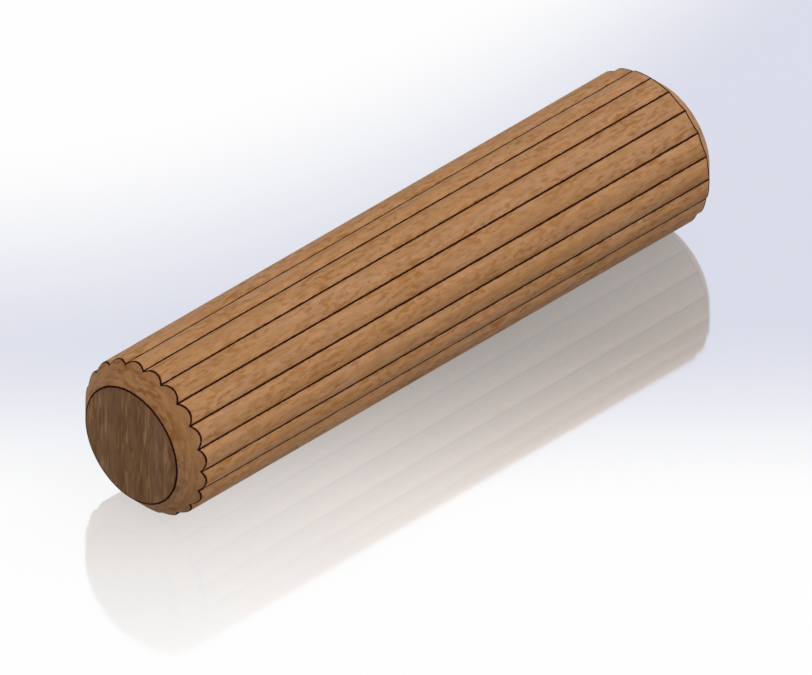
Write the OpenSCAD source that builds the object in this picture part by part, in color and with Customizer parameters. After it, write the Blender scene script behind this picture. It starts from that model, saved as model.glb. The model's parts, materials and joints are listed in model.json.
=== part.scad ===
/* [Pin] */
// Diameter over the crests of the reeds
pin_d = 8; // [6:0.5:16]
// Length from end face to end face
pin_len = 35; // [20:1:80]

/* [Reeds] */
// Number of reeds around the pin
reed_count = 20; // [12:1:24]
// Depth of the valleys between the reeds, below the crests
reed_depth = 0.2; // [0.1:0.02:0.3]

/* [Ends] */
// Length of each chamfer along the pin, measured at the crests
chamfer_len = 1; // [0.5:0.1:1.5]
// Angle between each chamfer and the axis of the pin, in degrees
chamfer_angle = 45; // [20:1:60]

/* [Hidden] */
$fn = 96;

crest_r = pin_d / 2;
valley_r = crest_r - reed_depth;
half_pitch = 180 / reed_count;

// A reed is one arc through its crest and the two valleys beside it
half_chord = valley_r * sin(half_pitch);
arc_rise = crest_r - valley_r * cos(half_pitch);
reed_r = (half_chord * half_chord + arc_rise * arc_rise) / (2 * arc_rise);
reed_centre_r = crest_r - reed_r;

// The core reaches the middle of the overlap between neighbouring reeds
core_r = reed_centre_r * cos(half_pitch);

// The chamfer cones start at the end faces, pass outside the crests and meet at mid-length
end_face_r = crest_r - chamfer_len * tan(chamfer_angle);
cones_meet_r = end_face_r + pin_len / 2 * tan(chamfer_angle);

// Length of bar that is cut away at each end when the pin is trimmed
saw_allowance = 1;

// Section of the pin: reeds side by side, with a valley on the +X axis
module reed_section() {
    circle(r = core_r);
    for (i = [0 : reed_count - 1])
        rotate((2 * i + 1) * half_pitch)
            translate([reed_centre_r, 0])
                circle(r = reed_r);
}

// Reeded bar, a little longer than the pin
module reeded_bar() {
    linear_extrude(height = pin_len + 2 * saw_allowance, center = true)
        reed_section();
}

// Two cones base to base, cut flat where the end faces are
module end_trim() {
    rotate_extrude()
        polygon([
            [0, -pin_len / 2],
            [end_face_r, -pin_len / 2],
            [cones_meet_r, 0],
            [end_face_r, pin_len / 2],
            [0, pin_len / 2],
        ]);
}

// The pin lies along X on the two reeds beside its lowest valley
module dowel_pin() {
    color([0.70, 0.52, 0.36])
        rotate([0, 90, 0])
            intersection() {
                reeded_bar();
                end_trim();
            }
}

dowel_pin();
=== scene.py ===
import bpy
import json
import math
from mathutils import Matrix, Vector


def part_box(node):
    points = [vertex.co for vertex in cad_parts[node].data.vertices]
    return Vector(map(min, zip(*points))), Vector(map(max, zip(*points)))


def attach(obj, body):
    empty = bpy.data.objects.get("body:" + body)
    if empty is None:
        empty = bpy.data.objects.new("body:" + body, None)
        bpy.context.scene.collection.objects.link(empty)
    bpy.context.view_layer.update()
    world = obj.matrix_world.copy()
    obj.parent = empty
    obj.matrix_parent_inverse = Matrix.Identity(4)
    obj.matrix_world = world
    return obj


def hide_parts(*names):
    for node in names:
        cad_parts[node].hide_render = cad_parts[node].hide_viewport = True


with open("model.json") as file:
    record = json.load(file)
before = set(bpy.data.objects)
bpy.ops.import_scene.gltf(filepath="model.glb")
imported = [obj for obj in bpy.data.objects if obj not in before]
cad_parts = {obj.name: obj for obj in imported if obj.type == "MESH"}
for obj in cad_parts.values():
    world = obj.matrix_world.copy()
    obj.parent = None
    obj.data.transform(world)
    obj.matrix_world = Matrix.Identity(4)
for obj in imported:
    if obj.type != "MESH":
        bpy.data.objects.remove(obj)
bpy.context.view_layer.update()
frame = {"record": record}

mm = 0.001    # the pin is modelled with 1 unit as 1 mm, then brought to metres
pinNode = "dowel_pin"
lowCorner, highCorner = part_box(pinNode)
pegMount = next(mount for mount in frame["record"]["mounts"] if mount["name"] == "near_peg")

# Sizes of the pin, in millimetres
pinSizes = {
    "length": (highCorner.x - lowCorner.x) / mm,
    "crestRadius": pegMount["dims"]["r_mm"],
    "reedCount": 20,
    "reedDepth": 0.2,
    "chamferLength": 1.0,
    "chamferAngle": math.radians(45),
}
halfLength = pinSizes["length"] / 2
crestRadius = pinSizes["crestRadius"]
valleyRadius = crestRadius - pinSizes["reedDepth"]
halfPitch = math.pi / pinSizes["reedCount"]
chamferSlope = math.tan(pinSizes["chamferAngle"])
endFaceRadius = crestRadius - pinSizes["chamferLength"] * chamferSlope

# One reed is an arc through its crest and the two valleys beside it
halfChord = valleyRadius * math.sin(halfPitch)
arcRise = crestRadius - valleyRadius * math.cos(halfPitch)
reedRadius = (halfChord ** 2 + arcRise ** 2) / (2 * arcRise)
reedCentre = crestRadius - reedRadius
reedTurn = 2 * math.asin(halfChord / reedRadius)
print("sizes read: pin", round(pinSizes["length"], 2), "mm long, reed radius", round(reedRadius, 3), "mm")


# A plane merged to one point, in edit mode, ready to be extruded or spun
def startPoint(name, place):
    bpy.ops.object.select_all(action="DESELECT")
    bpy.ops.mesh.primitive_plane_add(size=1, location=place)
    piece = bpy.context.object
    piece.name = piece.data.name = name
    bpy.ops.object.transform_apply(location=True, rotation=True, scale=True)
    bpy.ops.object.mode_set(mode="EDIT")
    bpy.ops.mesh.select_mode(type="VERT")
    bpy.ops.mesh.select_all(action="SELECT")
    bpy.ops.mesh.merge(type="CENTER")
    return piece


def pull(step):
    bpy.ops.mesh.extrude_region_move(TRANSFORM_OT_translate={"value": step})


def closeUp(weld):
    bpy.ops.mesh.select_all(action="SELECT")
    bpy.ops.mesh.remove_doubles(threshold=weld)
    bpy.ops.mesh.normals_make_consistent(inside=False)


def pickPoints(piece, wanted):
    bpy.ops.object.mode_set(mode="EDIT")
    bpy.ops.mesh.select_mode(type="VERT")
    bpy.ops.mesh.select_all(action="DESELECT")
    bpy.ops.object.mode_set(mode="OBJECT")
    for point in piece.data.vertices:
        point.select = wanted(point.co)
    bpy.ops.object.mode_set(mode="EDIT")


pinMesh = {
    "arcSteps": 16,         # faces across one reed
    "lengthSteps": 72,      # no ring of the bar may lie on a scalloped edge
    "turnSteps": 200,       # faces round a chamfer
    "endRings": 6,
    "sawAllowance": 1.0,    # bar that is cut away at each end
    "rimRound": 0.05,
    "rimSteps": 3,
    "edgeRound": 0.015,
    "edgeSteps": 2,
    "sharpFrom": math.radians(25),
    "smoothUpTo": math.radians(40),
    "weld": 0.0005,
}


def makeReededBar():
    barHalf = halfLength + pinMesh["sawAllowance"]
    bar = startPoint("dowelPin", (-barHalf, 0, valleyRadius))
    # valley to valley over one crest, then once round the pin
    bpy.ops.mesh.spin(
        steps=pinMesh["arcSteps"],
        angle=reedTurn,
        center=(-barHalf, reedCentre * math.sin(halfPitch), reedCentre * math.cos(halfPitch)),
        axis=(1, 0, 0),
    )
    bpy.ops.mesh.select_all(action="SELECT")
    copies = pinSizes["reedCount"] - 1
    bpy.ops.mesh.spin(
        steps=copies,
        dupli=True,
        angle=2 * halfPitch * copies,
        center=(-barHalf, 0, 0),
        axis=(-1, 0, 0),
    )
    bpy.ops.mesh.select_all(action="SELECT")
    bpy.ops.mesh.remove_doubles(threshold=pinMesh["weld"])
    for step in range(pinMesh["lengthSteps"]):
        pull((2 * barHalf / pinMesh["lengthSteps"], 0, 0))
    bpy.ops.mesh.select_all(action="SELECT")
    bpy.ops.mesh.fill_holes(sides=0)
    closeUp(pinMesh["weld"])
    bpy.ops.object.mode_set(mode="OBJECT")
    print("reeded bar:", len(bar.data.polygons), "faces")
    return bar


def isOnRim(place):
    return abs(place.yz.length - endFaceRadius) < pinMesh["weld"]


# Two cones base to base, cut flat where the end faces are
def makeEndTrim():
    ring = endFaceRadius / pinMesh["endRings"]
    coneRise = halfLength * chamferSlope
    trim = startPoint("endTrim", (-halfLength, 0, 0))
    for step in range(pinMesh["endRings"]):
        pull((0, 0, ring))
    pull((halfLength, 0, coneRise))
    pull((halfLength, 0, -coneRise))
    for step in range(pinMesh["endRings"]):
        pull((0, 0, -ring))
    bpy.ops.mesh.select_all(action="SELECT")
    bpy.ops.mesh.spin(steps=pinMesh["turnSteps"], angle=2 * math.pi, center=(0, 0, 0), axis=(1, 0, 0))
    closeUp(pinMesh["weld"])
    # ease the rims between the end faces and the chamfers
    pickPoints(trim, isOnRim)
    bpy.ops.mesh.bevel(offset=pinMesh["rimRound"], segments=pinMesh["rimSteps"], affect="EDGES")
    bpy.ops.object.mode_set(mode="OBJECT")
    # half a step round, so that the valleys cross faces and not edges
    trim.rotation_euler.x = math.pi / pinMesh["turnSteps"]
    print("end trim:", len(trim.data.polygons), "faces")
    return trim


def makePin():
    pin = makeReededBar()
    trim = makeEndTrim()
    bpy.ops.object.select_all(action="DESELECT")
    bpy.context.view_layer.objects.active = pin
    pin.select_set(True)
    cut = pin.modifiers.new("trimEnds", "BOOLEAN")
    cut.operation = "INTERSECT"
    cut.solver = "EXACT"
    cut.object = trim
    bpy.ops.object.modifier_apply(modifier=cut.name)
    bpy.data.objects.remove(trim)
    # ease the valleys and the scalloped edges
    bpy.ops.object.mode_set(mode="EDIT")
    closeUp(pinMesh["weld"])
    bpy.ops.mesh.select_mode(type="EDGE")
    bpy.ops.mesh.select_all(action="DESELECT")
    bpy.ops.mesh.edges_select_sharp(sharpness=pinMesh["sharpFrom"])
    bpy.ops.mesh.bevel(offset=pinMesh["edgeRound"], segments=pinMesh["edgeSteps"], affect="EDGES")
    closeUp(pinMesh["weld"])
    bpy.ops.object.mode_set(mode="OBJECT")
    pin.scale = (mm, mm, mm)
    bpy.ops.object.transform_apply(location=True, rotation=True, scale=True)
    bpy.ops.object.shade_smooth_by_angle(angle=pinMesh["smoothUpTo"])
    print("pin:", len(pin.data.polygons), "faces")
    return pin


dowelPin = makePin()


# Small helpers for the node trees
def feed(tree, socket, value):
    if isinstance(value, bpy.types.NodeSocket):
        tree.links.new(value, socket)
    else:
        socket.default_value = value


def calcNode(tree, kind, operation, values):
    node = tree.nodes.new(kind)
    node.operation = operation
    for socket, value in zip(node.inputs, values):
        feed(tree, socket, value)
    return node.outputs[0]


def calc(tree, operation, *values):
    return calcNode(tree, "ShaderNodeMath", operation, values)


def calcPlace(tree, operation, *values):
    return calcNode(tree, "ShaderNodeVectorMath", operation, values)


def lengthOf(tree, first, second):    # of a line with these two legs
    squares = calc(tree, "MULTIPLY_ADD", first, first, calc(tree, "MULTIPLY", second, second))
    return calc(tree, "POWER", squares, 0.5)


def axesOf(tree, place):
    node = tree.nodes.new("ShaderNodeSeparateXYZ")
    feed(tree, node.inputs[0], place)
    return node.outputs


def placeOf(tree, *axes):
    node = tree.nodes.new("ShaderNodeCombineXYZ")
    for socket, axis in zip(node.inputs, axes):
        feed(tree, socket, axis)
    return node.outputs[0]


def dim(tree, color, level):
    return calcPlace(tree, "MULTIPLY", color, placeOf(tree, level, level, level))


def placeInMm(tree):
    objectPlace = tree.nodes.new("ShaderNodeTexCoord").outputs["Object"]
    return calcPlace(tree, "MULTIPLY", objectPlace, (1 / mm, 1 / mm, 1 / mm))


def noise(tree, place, pattern, part="Fac"):
    alongGrain, acrossGrain = pattern["turns"]
    node = tree.nodes.new("ShaderNodeTexNoise")
    stretch = (alongGrain, acrossGrain, acrossGrain)
    feed(tree, node.inputs["Vector"], calcPlace(tree, "MULTIPLY", place, stretch))
    feed(tree, node.inputs["Scale"], 1.0)
    feed(tree, node.inputs["Detail"], pattern["detail"])
    feed(tree, node.inputs["Roughness"], pattern.get("rough", 0.5))
    return node.outputs[part]


def ramp(tree, value, reads, gives=(0.0, 1.0)):
    node = tree.nodes.new("ShaderNodeMapRange")
    node.interpolation_type = "SMOOTHSTEP"
    for socket, number in zip(node.inputs, (value, *reads, *gives)):
        feed(tree, socket, number)
    return node.outputs[0]


def blendColor(tree, share, first, second):
    node = tree.nodes.new("ShaderNodeMix")
    node.data_type = "RGBA"
    feed(tree, node.inputs[0], share)
    feed(tree, node.inputs[6], first)
    feed(tree, node.inputs[7], second)
    return node.outputs[2]


def newGroup(name, inputs, outputs):
    tree = bpy.data.node_groups.new(name, "ShaderNodeTree")
    for socketName, kind in inputs:
        tree.interface.new_socket(socketName, in_out="INPUT", socket_type="NodeSocket" + kind)
    for socketName, kind in outputs:
        tree.interface.new_socket(socketName, in_out="OUTPUT", socket_type="NodeSocket" + kind)
    return tree


def givenTo(tree):
    return tree.nodes.new("NodeGroupInput").outputs


def putOut(tree, **values):
    node = tree.nodes.new("NodeGroupOutput")
    for socketName, value in values.items():
        feed(tree, node.inputs[socketName], value)


def useGroup(tree, group, **values):
    node = tree.nodes.new("ShaderNodeGroup")
    node.node_tree = group
    for socketName, value in values.items():
        feed(tree, node.inputs[socketName], value)
    return node.outputs


def shade(*levels):    # a colour as a picture shows it, 0 to 255, by the sRGB curve
    shares = [level / 255 for level in levels]
    light = [share / 12.92 if share <= 0.04045 else ((share + 0.055) / 1.055) ** 2.4 for share in shares]
    return (*light, 1.0)


# Where a point of the surface lies: along the pin, round it, and how far from the nearest edge
def makePinPlaces():
    tree = newGroup("pinPlaces", [], [
        ("Solid", "Vector"),
        ("Wrapped", "Vector"),
        ("ValleyGap", "Float"),
        ("EdgeGap", "Float"),
    ])
    solid = placeInMm(tree)
    along, across, up = axesOf(tree, solid)
    radius = lengthOf(tree, across, up)
    turn = calc(tree, "ARCTAN2", across, up)
    # depth inside the end face, the chamfer and the reed: the middle one is the gap to an edge
    inEnd = calc(tree, "SUBTRACT", halfLength, calc(tree, "ABSOLUTE", along))
    coneRadius = calc(tree, "MULTIPLY_ADD", inEnd, chamferSlope, endFaceRadius)
    belowCone = calc(tree, "SUBTRACT", coneRadius, radius)
    inChamfer = calc(tree, "MULTIPLY", belowCone, math.cos(pinSizes["chamferAngle"]))
    fromValley = calc(tree, "PINGPONG", turn, halfPitch)
    fromCrest = calc(tree, "SUBTRACT", halfPitch, fromValley)
    reedSide = calc(tree, "MULTIPLY", radius, calc(tree, "SINE", fromCrest))
    reedUp = calc(tree, "MULTIPLY", radius, calc(tree, "COSINE", fromCrest))
    reedUp = calc(tree, "MAXIMUM", calc(tree, "SUBTRACT", reedUp, reedCentre), 0.0)
    inReed = calc(tree, "SUBTRACT", reedRadius, lengthOf(tree, reedSide, reedUp))
    lower = calc(tree, "MINIMUM", inEnd, inChamfer)
    upper = calc(tree, "MAXIMUM", inEnd, inChamfer)
    putOut(
        tree,
        Solid=solid,
        Wrapped=placeOf(tree, along, calc(tree, "MULTIPLY", turn, crestRadius), radius),
        ValleyGap=calc(tree, "MULTIPLY", fromValley, radius),
        EdgeGap=calc(tree, "MAXIMUM", lower, calc(tree, "MINIMUM", upper, inReed)),
    )
    return tree


# Figure of the wood: turns of each pattern per mm with the grain and across it,
# the range of its noise that is read, and the range that this gives
beechGrain = {
    "tone": {"turns": (0.11, 0.9), "detail": 3.0, "reads": (0.34, 0.66)},
    "mottle": {"turns": (0.9, 2.2), "detail": 2.0, "reads": (0.3, 0.7), "gives": (-0.05, 0.05)},
    "bend": {"turns": (1.1, 3.0), "detail": 2.0, "shift": (0.4, 0.06, 0.0)},
    "cluster": {"turns": (0.25, 1.0), "detail": 2.0, "reads": (0.35, 0.65), "gives": (0.4, 1.0)},
    "speckle": {"turns": (1.9, 4.8), "detail": 2.0, "reads": (0.78, 0.98), "gives": (0.0, 0.95)},
    "glint": {"turns": (1.3, 6.5), "detail": 1.0, "reads": (0.58, 0.68)},
    "streak": {"turns": (0.2, 4.2), "detail": 2.0, "reads": (0.5, 0.75), "gives": (0.0, 0.35)},
    "fibre": {
        "turns": (0.45, 11.0),
        "detail": 3.0,
        "rough": 0.6,
        "reads": (0.3, 0.7),
        "gives": (0.95, 1.05),
    },
    "fineFibre": {"turns": (0.9, 27.0), "detail": 2.0, "reads": (0.3, 0.7), "gives": (-0.05, 0.05)},
    "pore": {"turns": (1.1, 19.0), "detail": 1.0, "reads": (0.62, 0.72)},
    "feather": (0.4, 0.25),       # shares of the fibres and the fine fibres
    "poreShade": 0.2,
    "relief": (1.2, 0.6, 0.4),    # height of the feather, depth of the pores and of the flecks
    "reliefReads": (0.1, 0.6),
}

# Short dashes of the wood's rays, one to a cell, with some cells left empty
rayFlecks = {
    "turns": (1.0, 3.5, 1.0),
    "filled": 0.75,               # share of the cells with a dash
    "reach": (0.02, 0.6),
    "fade": (1.0, 0.1),
    "strength": (0.4, 1.0),
}


def makeRayFlecks(tree, place):
    cell = tree.nodes.new("ShaderNodeTexVoronoi")
    cell.voronoi_dimensions = "2D"
    feed(tree, cell.inputs["Vector"], calcPlace(tree, "MULTIPLY", place, rayFlecks["turns"]))
    feed(tree, cell.inputs["Scale"], 1.0)
    luck = axesOf(tree, cell.outputs["Color"])
    reach = ramp(tree, luck[0], (1 - rayFlecks["filled"], 1.0), rayFlecks["reach"])
    dash = ramp(tree, calc(tree, "DIVIDE", cell.outputs["Distance"], reach), rayFlecks["fade"])
    return calc(tree, "MULTIPLY", dash, ramp(tree, luck[1], (0.0, 1.0), rayFlecks["strength"]))


def makeBeechFigure():
    tree = newGroup("beechFigure", [
        ("Place", "Vector"),
        ("Pale", "Color"),
        ("Warm", "Color"),
        ("Fleck", "Color"),
        ("FleckShare", "Float"),
        ("Glint", "Float"),
    ], [
        ("Color", "Color"),
        ("Flecks", "Float"),
        ("Relief", "Float"),
    ])
    given = givenTo(tree)
    place = given["Place"]

    def read(name, value):
        pattern = beechGrain[name]
        return ramp(tree, value, pattern["reads"], pattern.get("gives", (0.0, 1.0)))

    def lay(name):
        return noise(tree, place, beechGrain[name])

    fibres = lay("fibre")
    fineFibres = lay("fineFibre")
    fibreShare, fineShare = beechGrain["feather"]
    feather = calc(tree, "MULTIPLY", fineFibres, fineShare)
    feather = calc(tree, "MULTIPLY_ADD", fibres, fibreShare, feather)
    pores = read("pore", lay("pore"))
    # the place wanders a little, so that flecks and glints aren't ruled straight
    wander = noise(tree, place, beechGrain["bend"], part="Color")
    wander = calcPlace(tree, "SUBTRACT", wander, (0.5, 0.5, 0.5))
    bent = calcPlace(tree, "MULTIPLY_ADD", wander, beechGrain["bend"]["shift"], place)
    glint = beechGrain["glint"]
    glints = ramp(tree, noise(tree, bent, glint), glint["reads"], (0.0, given["Glint"]))
    speckles = noise(tree, bent, beechGrain["speckle"])
    speckles = read("speckle", calc(tree, "ADD", speckles, feather))
    dashes = calc(tree, "MAXIMUM", makeRayFlecks(tree, bent), speckles)
    dashes = calc(tree, "MULTIPLY", dashes, read("cluster", lay("cluster")))
    flecks = calc(tree, "MAXIMUM", dashes, read("streak", lay("streak")))
    flecks = calc(tree, "MULTIPLY", flecks, given["FleckShare"])
    ground = blendColor(tree, read("tone", lay("tone")), given["Pale"], given["Warm"])
    ground = blendColor(tree, flecks, ground, given["Fleck"])
    level = calc(tree, "ADD", read("mottle", lay("mottle")), read("fibre", fibres))
    level = calc(tree, "ADD", level, read("fineFibre", fineFibres))
    level = calc(tree, "ADD", level, glints)
    level = calc(tree, "SUBTRACT", level, calc(tree, "MULTIPLY", pores, beechGrain["poreShade"]))
    featherHeight, poreDepth, fleckDepth = beechGrain["relief"]
    relief = calc(tree, "MULTIPLY", feather, featherHeight)
    relief = calc(tree, "SUBTRACT", relief, calc(tree, "MULTIPLY", pores, poreDepth))
    relief = calc(tree, "SUBTRACT", relief, calc(tree, "MULTIPLY", flecks, fleckDepth))
    putOut(tree, Color=dim(tree, ground, level), Flecks=flecks, Relief=relief)
    return tree


# Thin dark line along an edge or a valley, with a little darkening beside it. In a valley the line and
# the darkening are painted shade; along an edge the line is burnt by the cutter, with a little soot
# beside it
scorchAndShade = {
    "waver": {"turns": (4.0, 9.0), "detail": 3.0, "reads": (0.3, 0.7), "gives": (0.82, 1.18)},
    "fade": (1.3, 0.7),           # the line's edge, in half widths
    "sootAndShadeReach": 6.0,             # in half widths
}


def makeScorchAndShadeLine():
    tree = newGroup("scorchAndShadeLine", [
        ("Color", "Color"),
        ("Gap", "Float"),
        ("Place", "Vector"),
        ("Line", "Color"),
        ("HalfWidth", "Float"),
        ("Soot", "Float"),
    ], [
        ("Color", "Color"),
        ("Mask", "Float"),
    ])
    given = givenTo(tree)
    waver = scorchAndShade["waver"]
    wavering = ramp(tree, noise(tree, given["Place"], waver), waver["reads"], waver["gives"])
    half = calc(tree, "MULTIPLY", given["HalfWidth"], wavering)
    # in a valley, this line and the darkening beside it are painted shade
    line = ramp(tree, given["Gap"], [calc(tree, "MULTIPLY", half, share) for share in scorchAndShade["fade"]])
    sootAndShadeReach = calc(tree, "MULTIPLY", half, scorchAndShade["sootAndShadeReach"])
    sootAndShade = ramp(tree, given["Gap"], (sootAndShadeReach, 0.0), (0.0, given["Soot"]))
    mask = calc(tree, "MAXIMUM", line, sootAndShade)
    putOut(tree, Color=blendColor(tree, mask, given["Color"], given["Line"]), Mask=mask)
    return tree


pinPlaces = makePinPlaces()
beechFigure = makeBeechFigure()
scorchAndShadeLine = makeScorchAndShadeLine()

# Finish of each surface; "grain" names the place and, first, the axis that the grain runs along
reedFinish = {
    "grain": ("Wrapped", "XYZ"),
    "grainScale": (1.0, 1.0, 1.0),
    "pale": shade(180, 135, 97),
    "warm": shade(175, 128, 84),
    "fleck": shade(152, 100, 47),
    "fleckShare": 0.88,
    "glint": 0.06,
    # in the valleys the dark line and the darkening beside it are painted shade; along the edges they are
    # a burnt line with soot
    "line": shade(41, 5, 1),
    "valleyHalf": 0.05,
    "edgeHalf": 0.04,
    "sootAndShade": 0.06,
    "crestShadeFrom": (0.1, 0.5),        # gap from a valley over which the crests' painted shade comes in
    "rubLevel": 0.93,
    "rough": (0.52, 0.66),
    "bump": 0.012 * mm,
    "sheen": 0.1,
}
chamferFinish = {
    "grain": ("Wrapped", "YZX"),
    "grainScale": (0.8, 1.0, 1.0),
    "pale": shade(175, 131, 91),
    "warm": shade(169, 122, 79),
    "fleck": shade(138, 85, 40),
    "fleckShare": 0.85,
    "glint": 0.06,
    "line": shade(41, 5, 1),
    "edgeHalf": 0.04,
    "sootAndShade": 0.08,
    "rough": (0.62, 0.75),
    "bump": 0.012 * mm,
    "sheen": 0.1,
}
endFinish = {
    "grain": ("Solid", "ZYX"),
    "grainScale": (0.6, 0.9, 0.9),
    "pale": shade(143, 106, 75),
    "warm": shade(133, 96, 62),
    "fleck": shade(107, 67, 37),
    "fleckShare": 0.5,
    "glint": 0.5,
    "line": shade(41, 5, 1),
    "edgeHalf": 0.04,
    "sootAndShade": 0.08,
    "rough": (0.7, 0.85),
    "bump": 0.03 * mm,
    "sheen": 0.1,
}


def makeBeech(name, finish, ownsValleys):
    material = bpy.data.materials.new(name)
    material.use_nodes = True
    tree = material.node_tree
    shader = tree.nodes["Principled BSDF"]
    places = useGroup(tree, pinPlaces)
    source, order = finish["grain"]
    axes = axesOf(tree, places[source])
    place = placeOf(tree, *[axes[axis] for axis in order])
    figure = useGroup(
        tree,
        beechFigure,
        Place=calcPlace(tree, "MULTIPLY", place, finish["grainScale"]),
        Pale=finish["pale"],
        Warm=finish["warm"],
        Fleck=finish["fleck"],
        FleckShare=finish["fleckShare"],
        Glint=finish["glint"],
    )
    color = figure["Color"]
    gap = places["EdgeGap"]
    if ownsValleys:    # a valley's line, painted shade, is wider than an edge's, and the crests get painted shade, which flattens the shading across each reed
        widen = finish["edgeHalf"] / finish["valleyHalf"]
        gap = calc(tree, "MINIMUM", gap, calc(tree, "MULTIPLY", places["ValleyGap"], widen))
        rub = ramp(tree, places["ValleyGap"], finish["crestShadeFrom"], (1.0, finish["rubLevel"]))
        color = dim(tree, color, rub)
    lines = useGroup(
        tree,
        scorchAndShadeLine,
        Color=color,
        Gap=gap,
        Place=places["Solid"],
        Line=finish["line"],
        HalfWidth=finish["edgeHalf"],
        Soot=finish["sootAndShade"],
    )
    smooth, dull = finish["rough"]
    rough = ramp(tree, figure["Relief"], beechGrain["reliefReads"], (dull, smooth))
    bump = tree.nodes.new("ShaderNodeBump")
    feed(tree, bump.inputs["Height"], figure["Relief"])
    feed(tree, bump.inputs["Distance"], finish["bump"])
    feed(tree, shader.inputs["Base Color"], lines["Color"])
    feed(tree, shader.inputs["Roughness"], calc(tree, "MAXIMUM", rough, lines["Mask"]))
    feed(tree, shader.inputs["Specular IOR Level"], finish["sheen"])
    feed(tree, shader.inputs["Normal"], bump.outputs[0])
    return material


# A face is an end, a chamfer or a reed by how far it leans along the pin
dressing = {
    "endLean": 0.93,
    "chamferLean": 0.35,
}


def dressPin(pin):
    pin.data.materials.clear()
    pin.data.materials.append(makeBeech("reededBeech", reedFinish, True))
    pin.data.materials.append(makeBeech("chamferBeech", chamferFinish, False))
    pin.data.materials.append(makeBeech("sawnEndBeech", endFinish, False))
    for face in pin.data.polygons:
        lean = abs(face.normal.x)
        face.material_index = (lean > dressing["chamferLean"]) + (lean > dressing["endLean"])
    print("finishes laid:", [material.name for material in pin.data.materials])


dressPin(dowelPin)
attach(dowelPin, "root")
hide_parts(pinNode)

# The camera looks along the isometric line, with the pin running to the upper right
pictureView = {
    "size": (812, 675),
    "pixelsPerMm": 21.53,
    "pinCentre": (397.45, 291.7),    # where the middle of the pin lies in the picture
    "azimuth": math.radians(-45),
    "elevation": math.atan(math.sqrt(0.5)),
    "distance": 300 * mm,
}


def makeCamera():
    view = pictureView
    turn = Matrix.Rotation(view["azimuth"], 3, "Z")
    turn = turn @ Matrix.Rotation(math.pi / 2 - view["elevation"], 3, "X")
    right, up, back = turn.col
    wide, high = view["size"]
    perPixel = mm / view["pixelsPerMm"]
    aim = right * (wide / 2 - view["pinCentre"][0]) * perPixel
    aim -= up * (high / 2 - view["pinCentre"][1]) * perPixel
    data = bpy.data.cameras.new("pictureCamera")
    data.type = "ORTHO"
    data.ortho_scale = wide * perPixel
    camera = bpy.data.objects.new("pictureCamera", data)
    bpy.context.scene.collection.objects.link(camera)
    camera.matrix_world = Matrix.Translation(aim + back * view["distance"]) @ turn.to_4x4()
    bpy.context.scene.camera = camera
    print("camera set")


makeCamera()

# Soft room light, with one broad lamp above and in front of the pin's right side
studio = {
    "room": (1.0, 1.0, 1.0, 1.0),
    "roomLevel": 0.64,
    "seen": shade(254, 254, 254),    # the room as the camera and the floor's mirror see it
    "lampLevel": 0.5,
    "lampFrom": (0.5, -0.46, 0.74),
    "lampSpread": math.radians(60),
}

# Pale floor, white in front, with a cool grey band further back; its places are in millimetres
floorFinish = {
    "size": 2.0,                     # in metres
    "white": shade(254, 254, 254),
    "cool": shade(219, 221, 234),
    "bandFrom": (-17.0, 5.0),        # from white to grey, going back
    "bandTo": (-3.0, 26.0),          # from grey to white, at the far left
    "bandLeft": 25.3,
    "bandBend": (0.16, 0.0129),
    "bandReach": (36.0, 56.0),       # the grey fades out this far from the pin
    "shadow": 0.12,                  # share of the floor that shows the pin's shadow
    "mirrorFrom": (-42.0, -5.0),     # the floor mirrors the pin more and more, going back
    "mirror": (0.012, 0.39),
    "mirrorFront": (0.96, 1.03, 1.07, 1.0),
    "mirrorBack": (0.87, 0.95, 1.24, 1.0),
    "mirrorRough": 0.07,
    "bounce": (0.23, 0.25, 0.29, 1.0),
}


def mixShaders(tree, share, first, second):
    node = tree.nodes.new("ShaderNodeMixShader")
    feed(tree, node.inputs[0], share)
    feed(tree, node.inputs[1], first)
    feed(tree, node.inputs[2], second)
    return node.outputs[0]


def plainShader(tree, kind, color):
    node = tree.nodes.new(kind)
    feed(tree, node.inputs["Color"], color)
    return node.outputs[0]


# How far a point of the floor lies in the grey band, whose far edge bends back to the right
def greyBand(tree, across, back, away):
    sideways = calc(tree, "SUBTRACT", across, back)
    fromLeft = calc(tree, "MAXIMUM", calc(tree, "ADD", sideways, floorFinish["bandLeft"]), 0.0)
    steady, growing = floorFinish["bandBend"]
    bend = calc(tree, "MULTIPLY", fromLeft, calc(tree, "MULTIPLY_ADD", fromLeft, growing, steady))
    fading = ramp(tree, calc(tree, "SUBTRACT", away, bend), floorFinish["bandTo"], (1.0, 0.0))
    nearby = ramp(tree, lengthOf(tree, across, back), floorFinish["bandReach"], (1.0, 0.0))
    coming = ramp(tree, away, floorFinish["bandFrom"])
    return calc(tree, "MULTIPLY", coming, calc(tree, "MULTIPLY", fading, nearby))


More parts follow.
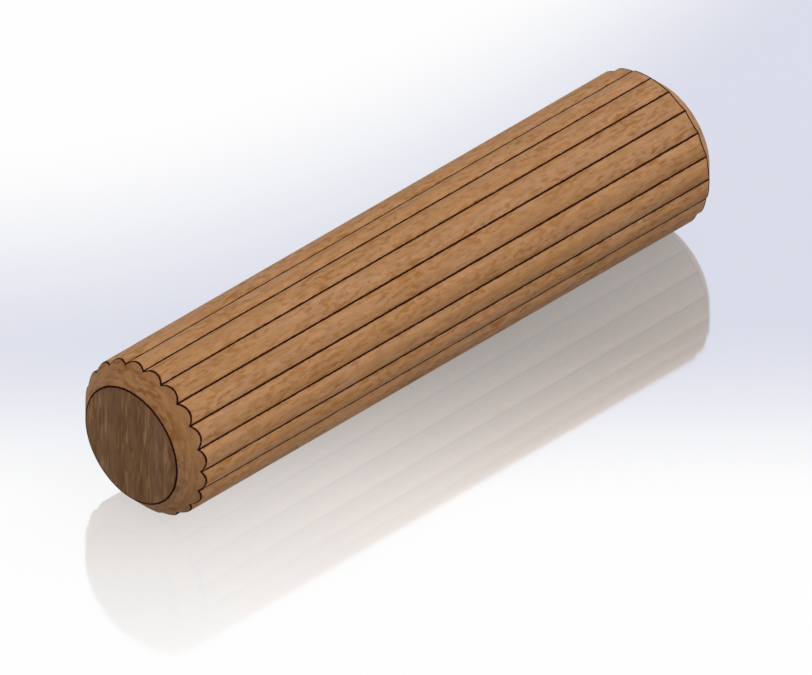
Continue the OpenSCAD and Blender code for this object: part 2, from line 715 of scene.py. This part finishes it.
def makeFloorMaterial():
    material = bpy.data.materials.new("paleFloor")
    material.use_nodes = True
    tree = material.node_tree
    tree.nodes.remove(tree.nodes["Principled BSDF"])
    across, back = axesOf(tree, placeInMm(tree))[:2]
    away = calc(tree, "ADD", across, back)
    band = greyBand(tree, across, back, away)
    ground = blendColor(tree, band, floorFinish["white"], floorFinish["cool"])
    # the ground makes up for the room that is mirrored in it, so only the pin's image shows
    mirror = ramp(tree, away, floorFinish["mirrorFrom"], floorFinish["mirror"])
    mirrorTint = blendColor(tree, band, floorFinish["mirrorFront"], floorFinish["mirrorBack"])
    mirrorShare = placeOf(tree, mirror, mirror, mirror)
    roomImage = calcPlace(tree, "MULTIPLY", mirrorTint, mirrorShare)
    roomImage = calcPlace(tree, "MULTIPLY", roomImage, studio["seen"][:3])
    groundShare = calcPlace(tree, "SUBTRACT", (1.0, 1.0, 1.0), mirrorShare)
    ground = calcPlace(tree, "SUBTRACT", ground, roomImage)
    ground = calcPlace(tree, "DIVIDE", ground, groundShare)
    glowing = plainShader(tree, "ShaderNodeEmission", ground)
    shaded = plainShader(tree, "ShaderNodeBsdfDiffuse", ground)
    shown = mixShaders(tree, floorFinish["shadow"], glowing, shaded)
    gloss = tree.nodes.new("ShaderNodeBsdfAnisotropic")
    feed(tree, gloss.inputs["Roughness"], floorFinish["mirrorRough"])
    feed(tree, gloss.inputs["Color"], mirrorTint)
    shown = mixShaders(tree, mirror, shown, gloss.outputs[0])
    # the light that the floor throws back at the pin
    path = tree.nodes.new("ShaderNodeLightPath")
    bounce = plainShader(tree, "ShaderNodeBsdfDiffuse", floorFinish["bounce"])
    whole = mixShaders(tree, path.outputs["Is Diffuse Ray"], shown, bounce)
    feed(tree, tree.nodes["Material Output"].inputs["Surface"], whole)
    return material


def makeFloor():
    bpy.ops.object.select_all(action="DESELECT")
    bpy.ops.mesh.primitive_plane_add(size=floorFinish["size"], location=(0, 0, lowCorner.z))
    floor = bpy.context.object
    floor.name = floor.data.name = "paleFloor"
    bpy.ops.object.transform_apply(location=True, rotation=True, scale=True)
    floor.data.materials.append(makeFloorMaterial())
    print("floor laid at", round(lowCorner.z / mm, 3), "mm")


makeFloor()


def makeLights():
    world = bpy.data.worlds.new("softRoom")
    bpy.context.scene.world = world
    world.use_nodes = True
    tree = world.node_tree
    room = tree.nodes["Background"]
    feed(tree, room.inputs["Color"], studio["room"])
    feed(tree, room.inputs["Strength"], studio["roomLevel"])
    seen = plainShader(tree, "ShaderNodeBackground", studio["seen"])
    path = tree.nodes.new("ShaderNodeLightPath")
    direct = calc(tree, "MAXIMUM", path.outputs["Is Camera Ray"], path.outputs["Is Glossy Ray"])
    direct = calc(tree, "MAXIMUM", direct, path.outputs["Is Transmission Ray"])
    whole = mixShaders(tree, direct, room.outputs[0], seen)
    feed(tree, tree.nodes["World Output"].inputs["Surface"], whole)
    lamp = bpy.data.lights.new("broadLamp", "SUN")
    lamp.energy = studio["lampLevel"] * math.pi
    lamp.angle = studio["lampSpread"]
    lampObject = bpy.data.objects.new("broadLamp", lamp)
    bpy.context.scene.collection.objects.link(lampObject)
    lampObject.rotation_euler = Vector(studio["lampFrom"]).to_track_quat("Z", "Y").to_euler()
    bpy.context.scene.view_settings.view_transform = "Standard"
    print("lights set")


makeLights()
